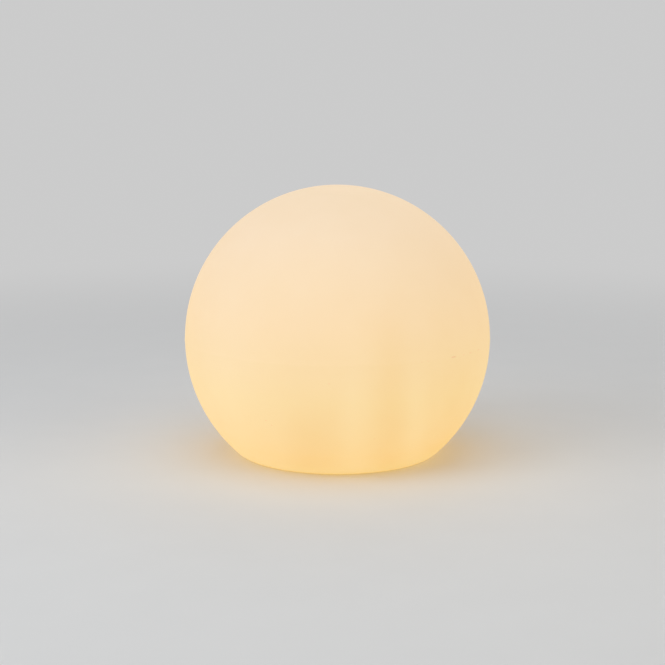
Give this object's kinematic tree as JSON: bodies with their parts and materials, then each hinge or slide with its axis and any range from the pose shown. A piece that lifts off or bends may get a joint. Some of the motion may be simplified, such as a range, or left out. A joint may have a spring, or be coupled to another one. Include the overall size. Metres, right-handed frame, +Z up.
{
  "type": "outdoor globe light",
  "caption": "Moulded milky globe that stands on its flat base and glows from inside; a cordless light module with battery and LEDs screws into a collar in its underside.",
  "frame": {"origin": "centre of the flat base, on the ground", "axes": "+Z up along the globe's axis; -Y faces the picture's camera; the charging socket is towards +X"},
  "size_m": [0.6008, 0.6006, 0.53],
  "materials": {
    "shell_plastic": "milky, lit from inside",
    "insert_brass": "machined",
    "gasket_rubber": "matt",
    "collar_plastic": "fine texture",
    "screw_steel": "stainless",
    "seal_rubber": "matt",
    "module_plastic": "fine texture",
    "button_plastic": "satin",
    "bung_rubber": "matt",
    "dark_plastic": "satin",
    "nut_metal": "nickel plated",
    "board_green": "solder mask",
    "chip_black": "matt",
    "coil_ferrite": "matt",
    "can_aluminium": "bright",
    "header_cream": "satin",
    "cell_wrap": "shrink wrap",
    "strap_metal": "mill finish",
    "lead_red": "satin",
    "lead_black": "satin",
    "plate_aluminium": "mill finish",
    "led_board_white": "white solder mask",
    "led_yellow": "phosphor",
    "dome_frosted": "frosted"
  },
  "bodies": {
    "globe": {"globe_shell": "shell_plastic", "thread_inserts": "insert_brass", "collar_gasket": "gasket_rubber", "collar_ring": "collar_plastic", "collar_screws": "screw_steel"},
    "seal_ring": {"module_seal": "seal_rubber"},
    "light_module": {"module_base": "module_plastic", "bung_anchor": "bung_rubber", "breather_vent": "dark_plastic", "vent_washer": "gasket_rubber", "vent_nut": "nut_metal", "charge_socket": "dark_plastic", "socket_pin": "insert_brass", "socket_nut": "nut_metal", "socket_tags": "nut_metal", "push_switch": "dark_plastic", "control_board": "board_green", "board_screws": "screw_steel", "board_chips": "chip_black", "board_coil": "coil_ferrite", "board_capacitors": "can_aluminium", "lead_headers": "header_cream", "battery_tray": "dark_plastic", "tray_screws": "screw_steel", "battery_cells": "cell_wrap", "cell_strips": "nut_metal", "battery_strap": "strap_metal", "strap_screws": "screw_steel", "battery_lead_red": "lead_red", "battery_lead_black": "lead_black", "led_lead_red": "lead_red", "led_lead_black": "lead_black", "socket_lead_red": "lead_red", "socket_lead_black": "lead_black", "deck_gasket": "gasket_rubber", "heat_plate": "plate_aluminium", "lead_grommet": "gasket_rubber", "led_board": "led_board_white", "led_board_screws": "screw_steel", "led_chips": "led_yellow", "dome_gasket": "gasket_rubber", "led_dome": "dome_frosted", "dome_screws": "screw_steel"},
    "power_button": {"power_button": "button_plastic", "button_seal": "seal_rubber", "switch_plunger": "dark_plastic"},
    "charge_bung": {"charge_bung": "bung_rubber"}
  },
  "joints": [
    {"name": "module_drop", "type": "slide", "parent": "globe", "child": "seal_ring", "axis": [0, 0, -1], "range_m": [0, 0.01]},
    {"name": "module_twist", "type": "hinge", "parent": "seal_ring", "child": "light_module", "pos_m": [0, 0, 0.042], "axis": [0, 0, -1], "range_deg": [0, 720]},
    {"name": "button_press", "type": "slide", "parent": "light_module", "child": "power_button", "axis": [0, 0, 1], "range_m": [0, 0.0015], "stiffness_N_per_m": 1000, "springref_m": -0.0005},
    {"name": "bung_swing", "type": "hinge", "parent": "light_module", "child": "charge_bung", "pos_m": [0.033, 0, 0.0371], "axis": [0, 1, 0], "range_deg": [0, 100]}
  ],
  "couplings": [
    {"joint": "module_drop", "follows": "module_twist", "m_per_rad": 0.00079577}
  ]
}
